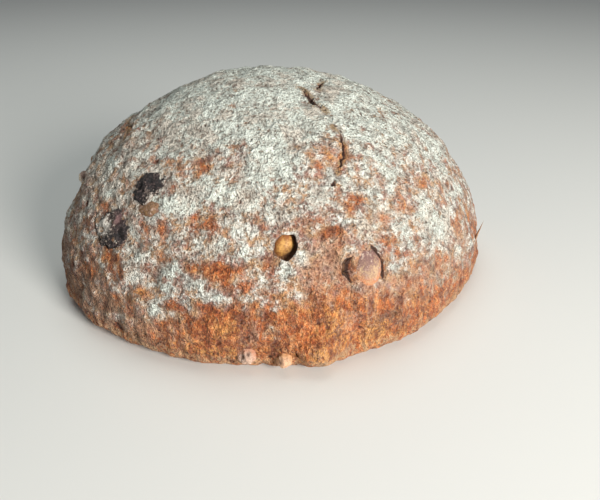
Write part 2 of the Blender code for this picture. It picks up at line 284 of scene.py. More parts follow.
def loafGrid():
    # Vertices and faces of the closed loaf: a square grid over the crown, a wall of rows, and the flat base
    n, down, footRows = loaf["across"], loaf["down"], loaf["footRows"]
    line = np.linspace(-1, 1, n + 1)
    across, along = (np.tan(grid * (math.pi / 4)).ravel() for grid in np.meshgrid(line, line, indexing="ij"))
    bearing, rise = np.arctan2(across, -along), np.arctan2(1, np.hypot(across, along))
    number = np.arange((n + 1) ** 2).reshape(n + 1, n + 1)
    rim = np.concatenate([number[:-1, 0], number[-1, :-1], number[1:, -1][::-1], number[0, 1:][::-1]])

    bearings, rises = [bearing], [rise]
    for row in range(1, down + 1):
        bearings.append(bearing[rim])
        rises.append(rise[rim] * (1 - row / down))
    bearings, rises = np.concatenate(bearings), np.concatenate(rises)
    points = dome(bearings, rises)
    points += outward(points) * (relief(points) + fineRelief(points, bearings, rises))[:, None]
    groups = [points]
    for row in range(1, footRows + 1):
        low = foot(bearing[rim], row / footRows)
        fine = fineRelief(low, bearing[rim], np.zeros(len(rim)))
        level = low + outward(low) * (relief(low) + fine)[:, None]
        groups.append(level)
    groups += [level * [share, share, 1] for share in loaf["baseRings"]]

    corners = [number[:-1, :-1], number[1:, :-1], number[1:, 1:], number[:-1, 1:]]
    faces = [np.stack(corners, -1).reshape(-1, 4)]
    ring, total = rim, len(bearing)
    for _ in range(down + footRows + len(loaf["baseRings"])):
        following = np.arange(total, total + len(rim))
        faces.append(np.stack([ring, following, np.roll(following, -1), np.roll(ring, -1)], -1))
        ring, total = following, total + len(rim)
    faces = np.concatenate(faces).tolist()
    faces.append(ring.tolist())
    return np.concatenate(groups), faces


def pieceFrom(name, points, faces, material=None):
    # An object from points in the loaf's own mm, set into the frame
    mesh = bpy.data.meshes.new(name)
    placed = (np.array(points) + [*loaf["middle"], 0]) * mm
    mesh.from_pydata(placed.tolist(), [], faces)
    mesh.update()
    mesh.shade_smooth()
    if material:
        mesh.materials.append(material)
    piece = bpy.data.objects.new(name, mesh)
    bpy.context.scene.collection.objects.link(piece)
    return piece


def ownPoints(mesh):
    # A mesh's points back in the loaf's own mm
    flat = np.empty(len(mesh.vertices) * 3, np.float32)
    mesh.vertices.foreach_get("co", flat)
    return flat.reshape(-1, 3).astype(float) / mm - [*loaf["middle"], 0]


def ball(detail):
    bm = bmesh.new()
    bmesh.ops.create_icosphere(bm, subdivisions=detail, radius=1)
    points = np.array([vert.co for vert in bm.verts])
    faces = [[vert.index for vert in face.verts] for face in bm.faces]
    bm.free()
    return points, faces


def setInCrust(points, spec):
    # Turns points around an opening's middle into their place in the crust
    point = crustPoint(*spec["at"])
    across, up, out = axesAt(point)
    turn = Matrix.Rotation(math.radians(spec["turn"]), 3, out)
    basis = np.array(turn @ Matrix((across, up, out)).transposed())
    return points @ basis.T + np.array(point)


def pocketCutter(name, spec):
    # A ragged drum: straight walls, a rounded floor, and its top above the crust
    points, faces = ball(pocket["detail"])
    drum = np.clip(points * pocket["squared"], -1, 1)
    reach = np.maximum(np.hypot(drum[:, 0], drum[:, 1]), 1)
    drum[:, :2] /= reach[:, None]
    swing = grain(drum * pocket["stretch"] + [*spec["at"], 0], pocket["rimLumps"], 2, 7)
    drum[:, :2] *= 1 + pocket["ragged"] * swing[:, None]
    wide, tall, depth = spec["hole"]
    drum[:, 2] *= np.where(drum[:, 2] < 0, depth, pocket["above"])
    drum[:, :2] *= [wide, tall]
    return pieceFrom(name + "Hollow", setInCrust(drum, spec), faces)


# Splits in the crust: the places they run through, the width in the middle, the depth and how ragged they are
cracks = {
    "crown": (
        ((39.5, 75.4), (36.3, 71.7), (35.2, 69.2), (33.1, 67.4), (34.6, 65.4), (36.6, 63.0)), 4.8, 5.4, 0.7,
    ),
    "crownHook": (((50, 72.3), (57, 72.4), (64.6, 73.6), (76, 73.4)), 3.6, 3.4, 0.8),
    "crownBranch": (((35.6, 70.6), (29, 71.2), (23, 73.2)), 2.6, 2.8, 1.1),
    "rightShoulder": (
        ((31.3, 57.6), (33.3, 54.9), (30.9, 50.8), (28.2, 48.1), (25.5, 46.2), (23.6, 44.4)), 2.7, 4.4, 0.6,
    ),
    "underTheShoulder": (((22.4, 42.9), (20.8, 42), (19.6, 41.4)), 3.4, 3.4, 0.6),
    "rightOfTheCrown": (((57.6, 58.9), (56.1, 58.7), (54.8, 58.2)), 3.0, 2.6, 0.6),
    "rightOfTheFrontNut": (((26.1, 26.4), (27.1, 23.4), (28.1, 20.2), (28.3, 16.6)), 6.4, 7.5, 0.2),
    "leftOfTheFrontNut": (((20.6, 24.4), (18.2, 23.1), (17.6, 20.8), (19.4, 18.2)), 5.6, 4.6, 0.3),
    "foldByTheFrontNut": (((15.2, 23.2), (14.4, 21.4), (14.2, 18.9)), 1.8, 1.2, 0.5),
    "underTheLowerRaisin": (
        ((-55.8, 27.5), (-53.4, 24.2), (-50.3, 21.9), (-46.6, 21.4), (-43.4, 22.6), (-41.6, 25.6)),
        3.0, 4.0, 0.4,
    ),
    "leftShoulder": (((-84, 49), (-77, 47.5), (-71.5, 48.5), (-66, 45.5)), 3.4, 3.4, 1.0),
    "overTheBaseNut": (((-7.8, 2.9), (-5.5, 3.1), (-3.2, 2.9)), 2.2, 1.8, 0.6),
    "byTheMiddleNut": (((3.4, 3.0), (4.2, 1.8), (4.9, 0.7)), 2.2, 1.6, 0.4),
    "backShoulder": (((196, 60), (186, 57), (178, 58), (168, 54)), 3.4, 3.6, 1.0),
    "backLeft": (((-112, 30), (-106, 26), (-103, 21)), 2.6, 3.0, 1.0),
    "leftOfTheBackNut": (((165.5, 30.5), (163.6, 27.4), (164.4, 23.6)), 4.2, 4.2, 0.3),
    "rightOfTheBackNut": (((176.6, 31), (178.4, 27.5), (177.2, 23)), 4.0, 5.4, 0.2),
}
crackMaking = {
    "steps": 6,  # between two places
    "lift": 1.5,  # how far the cutter stands out of the crust
    "wander": 1.2,  # degrees that a ragged split strays
    "waver": (0.31, 0.43, 0.7),  # how fast its bearing, its rise and its width change along it
    "ends": 0.15,  # width and depth at the ends, as a share of the middle
    "taper": 0.7,  # below 1 the split stays wide for longer
    "mended": 5e-6,  # metres under which points left by the cuts are joined
    "toasted": 1.5,  # width of the toasted rim
    "toastedReach": 8,  # how far past a split's own size the rim is looked for
    "linePoints": 9,  # from one place to the next, where the rim is measured
    "toastedAlong": ("crown", "crownHook", "rightShoulder", "leftShoulder", "backShoulder", "backLeft"),
}


def crackCutter(name, places, width, depth, ragged):
    steps, wander, ends = crackMaking["steps"], crackMaking["wander"], crackMaking["ends"]
    bearingWaver, riseWaver, widthWaver = crackMaking["waver"]
    stretches = (len(places) - 1) * steps
    rings = []
    for step in range(stretches + 1):
        first, share = divmod(step / steps, 1)
        start, end = places[int(first)], places[min(int(first) + 1, len(places) - 1)]
        bearing, rise = (a + (b - a) * share for a, b in zip(start, end))
        bearing += noise.noise((step * bearingWaver, width, rise)) * wander * ragged
        rise += noise.noise((step * riseWaver, rise, width)) * wander * ragged
        point = crustPoint(bearing, rise)
        ahead = crustPoint(end[0] + 0.01, end[1]) - crustPoint(*start)  # not quite nought at the last place
        _, _, out = axesAt(point)
        side = ahead.cross(out).normalized()
        along = max(math.sin(math.pi * step / stretches), 0)
        swell = ends + (1 - ends) * along ** crackMaking["taper"]
        lip = side * width / 2 * swell * (1 + ragged * noise.noise((step * widthWaver, depth, rise)))
        top = point + out * crackMaking["lift"]
        rings.append([top - lip, top + lip, point - out * depth * swell])
    points = np.array([corner for ring in rings for corner in ring])
    faces = [[2, 1, 0], [len(points) - 3, len(points) - 2, len(points) - 1]]
    for k in range(stretches):
        a = 3 * k
        faces += [[a + i, a + (i + 1) % 3, a + 3 + (i + 1) % 3, a + 3 + i] for i in range(3)]
    cutter = pieceFrom(name, points, faces)
    bm = bmesh.new()
    bm.from_mesh(cutter.data)
    bmesh.ops.recalc_face_normals(bm, faces=bm.faces)
    bm.to_mesh(cutter.data)
    bm.free()
    return cutter


def mend(piece):
    # Joins points that all but touch, and fills the tiny holes left where cuts cross
    bm = bmesh.new()
    bm.from_mesh(piece.data)
    bmesh.ops.remove_doubles(bm, verts=bm.verts, dist=crackMaking["mended"])
    for edge in [edge for edge in bm.edges if not edge.link_faces]:
        bm.edges.remove(edge)
    bmesh.ops.holes_fill(bm, edges=[edge for edge in bm.edges if edge.is_boundary])
    bm.to_mesh(piece.data)
    bm.free()


def carve(piece, cutters):
    # Cuts every cutter from the piece and removes them
    hollows = bpy.data.collections.new("hollows")
    for cutter in cutters:
        bpy.context.scene.collection.objects.unlink(cutter)
        hollows.objects.link(cutter)
    bpy.context.scene.collection.children.link(hollows)
    cut = piece.modifiers.new("carve", "BOOLEAN")
    cut.operation = "DIFFERENCE"
    cut.solver = "EXACT"
    cut.operand_type = "COLLECTION"
    cut.collection = hollows
    bpy.context.view_layer.update()
    graph = bpy.context.evaluated_depsgraph_get()
    carved = bpy.data.meshes.new_from_object(piece.evaluated_get(graph))
    piece.modifiers.remove(cut)
    piece.data = carved
    for cutter in cutters:
        bpy.data.objects.remove(cutter)
    bpy.data.collections.remove(hollows)
    mend(piece)


print("loaf, pockets and splits")
crustPiece = pieceFrom("crust", *loafGrid())
cutters = [pocketCutter(name, spec) for name, spec in bakedIn.items() if "hole" in spec]
cutters += [crackCutter(name, *shape) for name, shape in cracks.items()]
carve(crustPiece, cutters)
crustPiece.data.shade_smooth()
print("carved loaf faces", len(crustPiece.data.polygons))

# Where flour lies thick and where the crust is bare. Each patch has a bearing, a rise, half sizes across and
# upwards, a turn and a strength.
flour = {
    "lowerEdge": (  # bearing and rise
        (-180, 17), (-120, 16), (-90, 10), (-75, 8), (-66, 14), (-60, 16), (-50, 12), (-40, 11),
        (-30, 9), (-22, 13), (-8, 15), (0, 16), (12, 20), (25, 21), (36, 16), (48, 11), (60, 7), (75, 8),
        (90, 10), (130, 18), (180, 17),
    ),
    "edgeWander": (6, 22),  # how many degrees the lower edge strays, and the size of its bays in mm
    "edgeFade": 10,  # degrees over which it fades
    "scattered": 0.36,  # how much lies over the lower half
    "swept": 0.62,  # how little there is below the edge
    "thickens": (30, 62),  # the rises between which it grows to its full depth
    "drifts": ((0.30, 14, 12), (0.38, 5.5, 13)),  # strength, size and seed
    "settled": (0.6, 40, 35),  # how much evener it is on the crown, from which rise, over how far
    "patchStrength": 0.75,
    "offTheSplits": 0.35,  # how much less there is along a split
    "bare": (
        (14, 24, 7, 7, 0, 0.6), (-21, 47, 5, 4, 0, 0.2), (23.2, 48.5, 4, 5, 0, 0.4),
        (64.4, 16.4, 3.5, 4, 0, 0.5), (24, 51, 9, 8, 0, 0.85), (31, 49, 4, 6, 0, 0.4),
        (31, 40, 9, 5, 0, 0.4), (15, 43, 5, 4, 0, 0.4), (-25, 46.5, 8, 4, 35, 0.85),
        (-13, 52, 8, 4.5, 0, 0.5), (-38, 45, 6, 5, 0, 0.5), (-47, 48, 5, 5, 0, 0.4),
        (-18.8, 33.2, 7, 5, 0, 0.7), (-28, 30, 5, 5, 0, 0.4), (-3, 33.5, 5, 3, 0, 0.5),
        (-30, 24.5, 3.5, 3, 0, 0.6), (-45, 19, 7, 5, -15, 1.1), (-53, 28, 5, 6, 0, 0.6),
        (-62, 14, 9, 6, 0, 0.3), (-34, 14, 4, 3, 0, 0.9), (-16, 22.4, 8, 3.6, 0, 0.8),
        (-9, 23, 6, 3.4, 0, 0.6), (-1, 25, 5, 3, 0, 0.7), (6, 32.6, 7, 3, 0, 0.5),
        (15, 30.5, 7, 4, 0, 0.5), (23, 36, 6, 4, 0, 0.4), (33, 31, 5, 4, 0, 0.7), (45, 36, 5, 4, 0, 0.5),
        (57, 34, 5, 5, 0, 0.5), (64, 17.5, 3, 4, 0, 0.7), (75.5, 18, 4, 8, 0, 0.9),
        (12, 12, 30, 6, 0, 0.5), (-20, 6, 20, 6, 0, 0.7), (42, 6, 9, 6, 0, 0.6), (41, 71, 6, 5, 0, 0.5),
        (83, 67, 6, 4, 0, 0.5), (-73, 45, 6, 6, 0, 0.7), (-78, 27, 6, 8, 0, 0.6),
        (-55, 24, 5, 4, 0, 0.4), (43, 22.5, 4, 4, 0, 0.5), (78, 18, 4, 5, 0, 0.5),
        (60, 29, 4, 4, 0, 0.4), (-71, 27, 8, 6, 0, 0.4), (120, 48, 9, 6, 20, 0.9),
        (160, 36, 10, 6, -20, 0.8), (-100, 40, 8, 6, 10, 0.8), (-150, 30, 9, 7, 0, 0.8),
        (125, 25, 8, 6, 0, 0.6), (-175, 48, 9, 5, 0, 0.6), (-120, 60, 7, 5, 0, 0.5),
    ),
    "thick": (
        (39.2, 26.7, 4, 5, 0, 0.8), (-15.3, 27.8, 6, 5, 0, 0.6), (-26.6, 29, 5, 5, 0, 0.6),
        (-27.7, 9.9, 4, 4, 0, 0.6), (-26, 19.6, 5, 4, 0, 0.5), (-1.9, 34.5, 6, 3, 0, 0.4),
        (-17.3, 13.5, 6, 3, 0, 0.5), (-67, 18, 7, 6, 0, 0.5), (75, 43, 8, 6, 0, 0.4),
        (76, 22.5, 6, 6, 0, 0.5), (72, 7, 5, 5, 0, 0.3), (-56, 22, 12, 10, 0, 0.2),
        (3.5, 23.0, 6, 2.4, 0, 0.9), (7.5, 26.4, 2, 4, 0, 0.7), (-35, 22, 6, 6, 0, 0.6),
        (-27, 20.5, 4, 4, 0, 0.6), (-26, 15.5, 5, 3.4, 0, 1.1), (-30.5, 9.5, 3.5, 3, 0, 0.8),
        (-16, 16.4, 8, 2.6, 0, 0.9), (-31, 35, 7, 4, 0, 0.7), (-14, 39, 12, 4, 0, 0.7),
        (0, 48, 9, 7, 0, 0.7), (35, 37.8, 4, 3, 0, 0.9), (33, 19.5, 6, 5, 0, 0.8),
        (50, 28, 5, 8, 20, 0.8), (57, 21, 6, 8, 20, 0.8), (62, 14, 4, 5, 0, 0.6), (69, 30, 6, 7, 0, 0.6),
        (80, 35, 9, 8, 0, 0.6), (43, 42, 3.4, 8, 0, 0.5), (71, 9, 7, 5, 0, 0.4),
        (12, 18.6, 6, 2.4, 0, 0.3), (-51, 3, 9, 4, 0, 0.5), (-70, 6, 7, 4, 0, 0.5),
        (-32, 57, 12, 5, 0, 0.4), (27.7, 24, 3, 2, 0, 0.4), (-64, 20, 10, 8, 0, 0.1),
        (-52, 7, 14, 8, 0, 0.5), (-62, 39, 12, 9, 0, 0.15), (-52, 34, 5, 5, 0, 0.3),
        (0, 31.8, 6, 2, 0, 0.6), (36, 25, 4, 4, 0, 0.6), (-5.6, 16, 6, 2.5, 0, 0.4),
        (-21, 14, 4, 3, 0, 0.4), (15.8, 16.3, 5, 3, 0, 0.4), (70, 5, 7, 8, 0, 0.5),
        (-19.4, 18.7, 5, 2.5, 0, 0.4), (-38, 4, 7, 4, 0, 0.4), (19, 17, 5, 3, 0, 0.3),
        (78, 45, 12, 10, 0, 0.3), (-24, 36, 6, 4, 0, 0.3),
    ),
}


# Where the bare crust is golden, dusky or greyer, where the flour is muted, and where a thin pink veil lies
# over
# both: patches given in the same way. greyAndShade over the two dents low on the right is painted shade, and
# the dusky places also deepen the painted shade in crevices
stains = {
    "golden": (
        (-34.5, 12.7, 3.5, 4.5, 0, 1.1), (24, 51, 8, 8, 0, 1.0), (56, 26, 30, 22, 0, 0.7),
        (24.5, 3.4, 7, 6, 0, 1.1), (10.5, 1.5, 9, 5, 0, 0.8), (37, 10, 3.5, 4, 0, 0.9),
        (30, 34, 5, 6, 0, 0.8), (-19.7, 19.9, 2.6, 2.6, 0, 1.2), (3, 16, 8, 5, 0, 0.5),
        (13, 9, 5, 8, 0, 0.6), (-14, 2, 14, 2.2, 0, 0.9), (75.5, 18, 4, 5, 0, 0.7),
        (-27, 30, 3, 4, 0, 0.6), (-12.7, 8.6, 3, 6, 0, 0.5), (42, 3, 5, 3, 0, 0.5),
        (150, 12, 12, 7, 0, 0.8), (-140, 10, 14, 8, 0, 0.8), (110, 8, 9, 5, 0, 0.7),
        (-95, 14, 8, 6, 0, 0.6),
    ),
    "dusky": (
        (28.9, 7.4, 5, 3, 0, 1.6), (33, 4.5, 4, 2.6, 0, 1.0), (-8.4, 10, 1.6, 8, 0, 1.1),
        (-0.4, 5, 2.4, 5, 0, 0.9), (-32, 16, 3, 4, 0, 0.8), (-23, 15.5, 3.5, 4.5, 0, 0.9),
        (-60, 9, 12, 9, 0, 0.6), (-48, 3, 12, 5, 0, 0.7), (-17, 12, 2.4, 8, 0, 0.5),
        (-4, 12.5, 3, 4, 0, 0.6), (38.5, 13.5, 2.4, 3, 0, 0.9), (-74, 14, 8, 12, 0, 0.7),
        (-29, 5, 1.8, 5, 0, 0.6), (-52, 20, 14, 13, 0, 0.5), (170, 14, 7, 4, 0, 0.9),
        (-165, 22, 6, 5, 0, 0.7), (130, 15, 5, 6, 0, 0.8), (-110, 9, 9, 5, 0, 0.8),
    ),
    "greyAndShade": (
        (-64, 8, 24, 16, 0, 1.0), (-45, 6, 16, 10, 0, 1.0), (-84, 16, 20, 22, 0, 0.8),
        (-33, 1, 10, 4, 0, 0.6), (-68, 32, 26, 24, 0, 0.85), (72, 20, 18, 18, 0, 0.35),
        (28.9, 7.4, 5, 3, 0, 0.6), (33, 4.5, 5, 3, 0, 0.5), (150, 6, 16, 7, 0, 0.6),
        (-150, 5, 16, 6, 0, 0.6), (95, 5, 10, 5, 0, 0.5),
    ),
    "muted": (
        (-60, 32, 24, 18, 0, 0.8), (55, 25, 22, 14, 0, 0.4), (44, 68, 12, 8, 0, 0.8),
        (-52, 45, 14, 10, 0, 0.8), (-40, 55, 15, 8, 0, 0.9), (-11, 41, 14, 6, 0, 0.7),
        (24, 63, 8, 5, 0, 0.5), (8, 60, 6, 5, 0, 0.5), (-60, 62, 12, 6, 0, 0.6), (60, 50, 10, 9, 0, 0.4),
        (140, 62, 14, 8, 0, 0.7), (-140, 55, 14, 9, 0, 0.7), (100, 72, 10, 6, 0, 0.5),
    ),
    "veiled": (
        (52, 32, 26, 18, 0, 0.45), (34, 33, 12, 10, 0, 0.4), (46, 13, 22, 15, 0, 0.7),
        (33, 15, 9, 7, 0, 0.5), (63, 13, 12, 15, 0, 0.6), (19, 9, 8, 6, 0, 0.6),
        (-34.4, 12.6, 4, 5, 0, 0.4), (-34, 6, 12, 7, 0, 1.0), (-5.4, 8, 3, 6, 0, 0.8),
        (-22, 6, 5, 5, 0, 0.4), (12.5, 24, 10, 9, 0, 1.4), (24, 16.5, 9, 5, 0, 0.7),
        (25, 30, 9, 5, 0, 0.7), (5, 20, 9, 6, 0, 0.4), (-45, 6, 9, 6, 0, 0.4), (100, 12, 16, 10, 0, 0.7),
        (-130, 14, 16, 8, 0, 0.7), (155, 20, 14, 8, 0, 0.6), (-170, 10, 12, 8, 0, 0.6),
    ),
}


def placeOf(points):
    # Bearing and rise of points near the crust, in radians
    crown = loaf["height"] - loaf["widest"]
    above = points[:, 2] - loaf["widest"]
    x = points[:, 0] - loaf["lean"] * np.maximum(above, 0) / crown
    return np.arctan2(x, -points[:, 1]), np.arctan2(above, np.hypot(x, points[:, 1]))


def flourOn(points, bearing, rise):
    degrees = np.degrees(rise)
    edge = np.interp(np.degrees(bearing), *zip(*flour["lowerEdge"]))
    wander, bays = flour["edgeWander"]
    edge = edge + wander * grain(points, bays, 2, 11)
    above = np.clip((degrees - edge) / flour["edgeFade"], -1, 1)
    amount = above * np.where(above > 0, flour["scattered"], flour["swept"])
    start, full = flour["thickens"]
    amount += (1 - flour["scattered"]) * np.clip((degrees - start) / (full - start), 0, 1)
    evener, start, over = flour["settled"]
    unsettled = 1 - evener * np.clip((degrees - start) / over, 0, 1)
    amount += sum(depth * grain(points, size, 2, seed) for depth, size, seed in flour["drifts"]) * unsettled
    for *place, strength in flour["bare"]:
        amount -= flour["patchStrength"] * strength * patch(points, *place)
    for *place, strength in flour["thick"]:
        amount += flour["patchStrength"] * strength * patch(points, *place)
    return amount


def addAttribute(mesh, name, values):
    layer = mesh.attributes.new(name, "FLOAT", "POINT")
    layer.data.foreach_set("value", np.asarray(values, np.float32))


def crackLine(places):
    # Points along a split, about a millimetre apart
    line = []
    for start, end in zip(places, places[1:]):
        for share in np.linspace(0, 1, crackMaking["linePoints"]):
            line.append(crustPoint(*(a + (b - a) * share for a, b in zip(start, end))))
    return np.array(line)


def toastedBy(points):
    # 1 along the splits, falling to 0 beside them
    near = np.zeros(len(points))
    for name in crackMaking["toastedAlong"]:
        places, width = cracks[name][:2]
        line = crackLine(places)
        reach = np.ptp(line, axis=0).max() + crackMaking["toastedReach"]
        close = np.linalg.norm(points - line.mean(0), axis=1) < reach
        gap = np.min(np.linalg.norm(points[close][:, None] - line[None], axis=2), axis=1)
        rim = crackMaking["toasted"] * (0.5 + width / 4)
        near[close] = np.maximum(near[close], np.exp(-((gap / rim) ** 2)))
    return near


def markCrust(mesh):
    points = ownPoints(mesh)
    bearing, rise = placeOf(points)
    surface = dome(bearing, np.maximum(rise, 0))
    surface += outward(surface) * relief(surface)[:, None]
    centre = np.array([0, 0, loaf["widest"]])
    deep = np.linalg.norm(surface - centre, axis=1) - np.linalg.norm(points - centre, axis=1)
    toasted = toastedBy(points)
    addAttribute(mesh, "toasted", toasted)
    addAttribute(mesh, "flour", flourOn(points, bearing, rise) - flour["offTheSplits"] * toasted)
    for name, places in stains.items():
        addAttribute(mesh, name, sum(strength * patch(points, *place) for *place, strength in places))
    addAttribute(mesh, "deep", np.where(points[:, 2] < loaf["widest"], 0, deep))
    addAttribute(mesh, "low", np.degrees(rise))
    addAttribute(mesh, "under", points[:, 2] < loaf["underside"])


print("flour and stains")
markCrust(crustPiece.data)


class Wire:
    # A node's socket that can be added to, taken from and multiplied
    def __init__(self, paint, socket):
        self.paint = paint
        self.socket = socket

    def math(self, operation, *others):
        return self.paint.node("ShaderNodeMath", {"operation": operation}, dict(enumerate((self, *others))))

    def __add__(self, other):
        return self.math("ADD", other)

    def __sub__(self, other):
        return self.math("SUBTRACT", other)

    def __mul__(self, other):
        return self.math("MULTIPLY", other)

    def __rsub__(self, other):
        return self.paint.node("ShaderNodeMath", {"operation": "SUBTRACT"}, {0: other, 1: self})

    __radd__ = __add__

    def ramp(self, low, high):
        # 0 below low, 1 above high, smooth between
        values = {"Value": self, "From Min": low, "From Max": high}
        return self.paint.node("ShaderNodeMapRange", {"interpolation_type": "SMOOTHSTEP"}, values)


class Paint:
    # A material and its nodes
    def __init__(self, name):
        self.material = bpy.data.materials.new(name)
        self.material.use_nodes = True
        self.tree = self.material.node_tree
        self.shader = self.tree.nodes["Principled BSDF"]

    def node(self, kind, settings, values, out=0):
        made = self.tree.nodes.new(kind)
        for name, setting in settings.items():
            setattr(made, name, setting)
        for name, value in values.items():
            self.plug(made.inputs[name], value)
        return Wire(self, made.outputs[out])

    def plug(self, socket, value):
        if isinstance(value, Wire):
            self.tree.links.new(value.socket, socket)
        elif isinstance(value, tuple) and socket.type == "RGBA":
            socket.default_value = (*value, 1)
        else:
            socket.default_value = value

    def spot(self, shift=None):
        place = self.node("ShaderNodeTexCoord", {}, {}, "Object")
        if shift is None:
            return place
        return self.node("ShaderNodeVectorMath", {"operation": "ADD"}, {0: place, 1: shift})

    def stretched(self, x, y, z):
        # A factor below 1 draws the lumps out along that axis
        return self.node("ShaderNodeVectorMath", {"operation": "MULTIPLY"}, {0: self.spot(), 1: (x, y, z)})

    def cloud(self, size, detail, rough=0.55, where=None, twist=0):
        # Noise with lumps of a size in mm, from 0 to 1
        values = {"Vector": where or self.spot(), "Scale": 1 / (size * mm), "Detail": detail}
        values.update({"Roughness": rough, "Distortion": twist})
        return self.node("ShaderNodeTexNoise", {}, values)

    def reading(self, name):
        # A value that the mesh carries
        return self.node("ShaderNodeAttribute", {"attribute_name": name}, {}, "Fac")

    def mix(self, first, second, amount, blend="MIX"):
        settings = {"data_type": "RGBA", "blend_type": blend}
        return self.node("ShaderNodeMix", settings, {0: amount, 6: first, 7: second}, 2)

    def tint(self, colour, tone, amount):
        # One of the crust's colours laid over another colour
        return self.mix(colour, crustColours[tone], amount)

    def bump(self, height, strength, distance):
        values = {"Height": height, "Strength": strength, "Distance": distance * mm}
        return self.node("ShaderNodeBump", {}, values)

    def finish(self, **values):
        for name, value in values.items():
            self.plug(self.shader.inputs[name.replace("_", " ")], value)
        return self.material


# Linear colours
crustColours = {
    "orange": (0.66, 0.19, 0.053),
    "golden": (0.81, 0.39, 0.12),
    "russet": (0.27, 0.068, 0.028),
    # dusky: a dark crust tone, also laid on the nuts' upper sides as painted shade
    "dusky": (0.205, 0.108, 0.096),
    "mauve": (0.37, 0.225, 0.205),
    "straw": (0.66, 0.42, 0.20),
    # burntAndShade: dark specks on the nuts, and painted shade in splits, hollows and pits
    "burntAndShade": (0.055, 0.026, 0.018),
    "crumb": (0.30, 0.145, 0.065),
    # creviceShade and bareCreviceShade: painted shade in crevices, on floured and on bare crust
    "creviceShade": (0.12, 0.085, 0.065),
    "bareCreviceShade": (0.115, 0.026, 0.010),
    "underFlour": (0.29, 0.235, 0.18),
    "toastedRim": (0.36, 0.23, 0.11),
    "mutedFlour": (0.74, 0.66, 0.575),
    "tanFlour": (0.80, 0.645, 0.50),
    "flour": (0.93, 0.915, 0.85),
    "coolFlour": (0.88, 0.94, 0.87),
    "pitShade": (0.40, 0.365, 0.33),
    "barePitShade": (0.50, 0.30, 0.17),
    "film": (0.62, 0.415, 0.30),
    # greyAndShade: greyer crust, and painted shade over the dents low on the right
    "greyAndShade": (0.33, 0.225, 0.15),
    "veil": (0.58, 0.345, 0.24),
    "paleGrain": (0.89, 0.47, 0.22),
    "footDust": (0.66, 0.43, 0.24),
}
# How strong each layer of the crust is, from 0 to 1
crustLook = {
    "stained": 0.85, "dusk": 0.8, "russetUnderFlour": 0.5, "goldenGrains": 0.5,
    "veil": 0.8, "paleFibres": 0.45, "paleGrains": 0.35, "greyAndShadeMix": 0.7,
    "film": 0.78, "mauveFilm": 0.8, "strawFilm": 0.6, "underFlour": 0.85,
    "muted": 0.8, "tanned": 0.75, "dusting": 0.55,
    # painted shade in crevices, at three sizes:
    "recessShades": (  # size in mm, detail, roughness, shift, where it starts and is full, strength
        (1.0, 1, 0.6, (0.5, 0.1, 0.2), 0.53, 0.63, 0.21),
        (2.4, 1, 0.6, (0.1, 0.6, 0.2), 0.53, 0.64, 0.29),
        (5.5, 2, 0.7, (0.1, 0.2, 0.7), 0.50, 0.62, 0.31),
    ),
    # channelShade: painted shade in drawn-out channels on bare crust
    "channelShade": 0.27, "footDust": 0.6, "toastedRim": 0.8,
    "flourGains": (2.8, 2.1, 1.1, 0.4),  # how much each size of clump breaks up the flour, from the largest
    "flourCover": (0.04, 0.86),  # the amounts at which it starts to cover and is full
    # burntAndShade comes part way down as painted shade in splits and hollows
    "inSplits": (  # colour, the depths in mm between which it comes, strength
        ("russet", 0.7, 1.2, 0.75), ("burntAndShade", 0.9, 1.6, 0.9), ("crumb", 2.6, 4.4, 0.8),
    ),
    "relief": (1.0, 2.0),  # strength and distance
    "roughness": (0.62, 0.33),  # of the bare crust, and how much more where flour covers it
}


